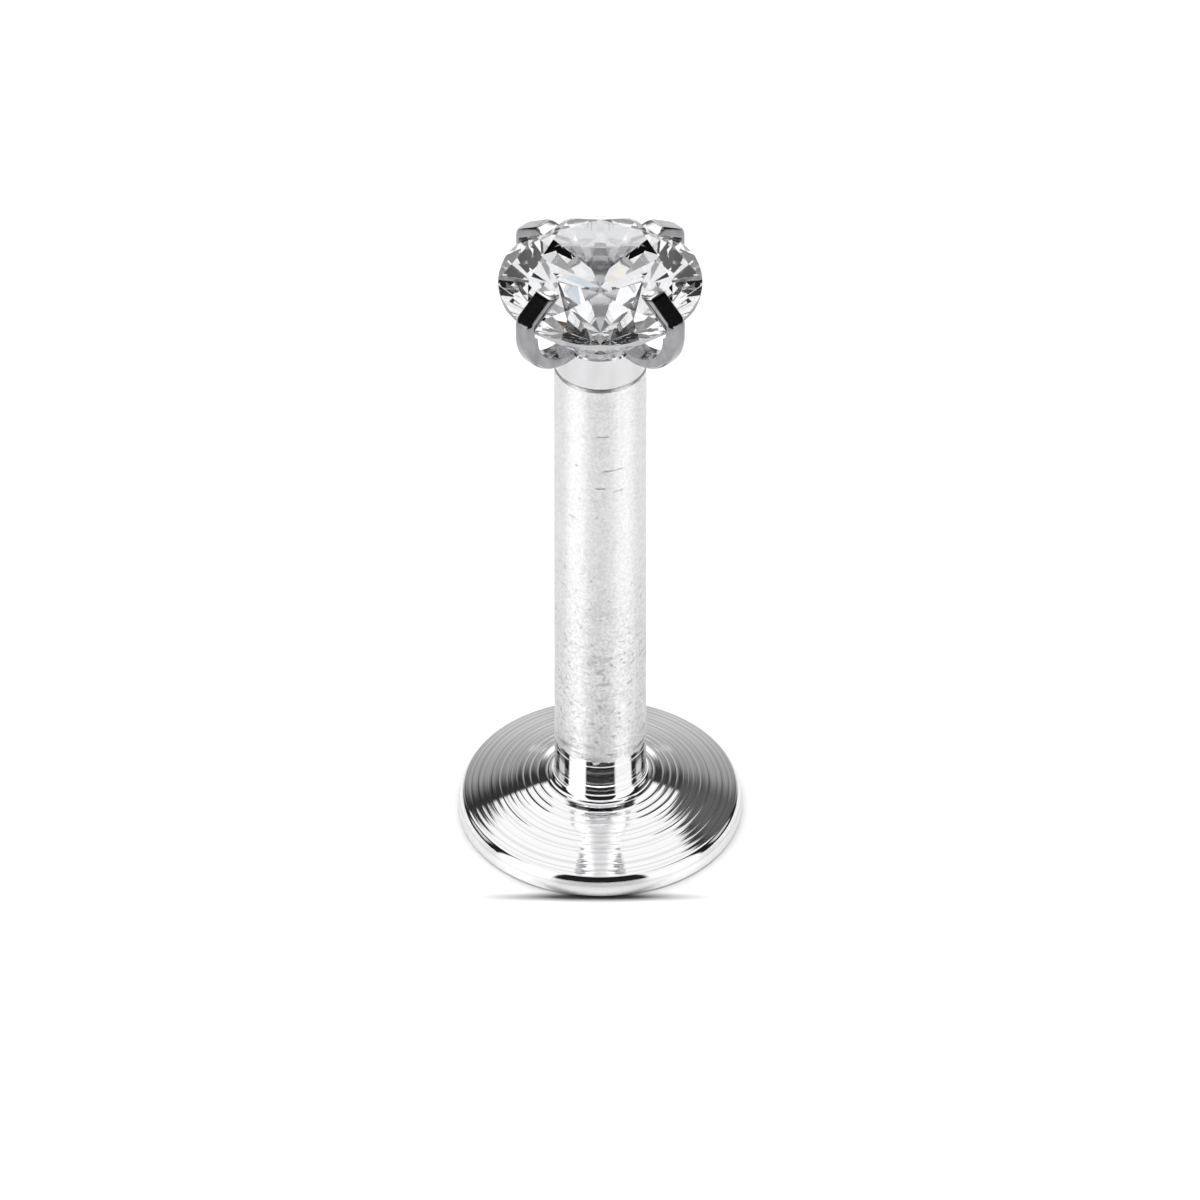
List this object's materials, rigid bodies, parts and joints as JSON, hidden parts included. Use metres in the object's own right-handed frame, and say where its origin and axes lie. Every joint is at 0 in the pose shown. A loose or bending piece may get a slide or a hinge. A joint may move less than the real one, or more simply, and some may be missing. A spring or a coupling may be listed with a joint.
{
  "type": "labret stud",
  "caption": "Straight labret stud with a flat-backed disc and a claw-set clear round stone, worn through a lip or ear piercing.",
  "frame": {"origin": "centre of the disc's flat underside", "axes": "+Z along the post towards the stone; the claws stand on the diagonals between X and Y"},
  "size_m": [0.004, 0.004, 0.01],
  "materials": {
    "post_steel": "satin post, polished foot, turned rings on the disc",
    "setting_steel": "polished claws",
    "clear_stone": "clear faceted brilliant"
  },
  "bodies": {
    "root": {"post_with_disc": "post_steel", "claw_setting": "setting_steel", "stone": "clear_stone"}
  },
  "joints": []
}
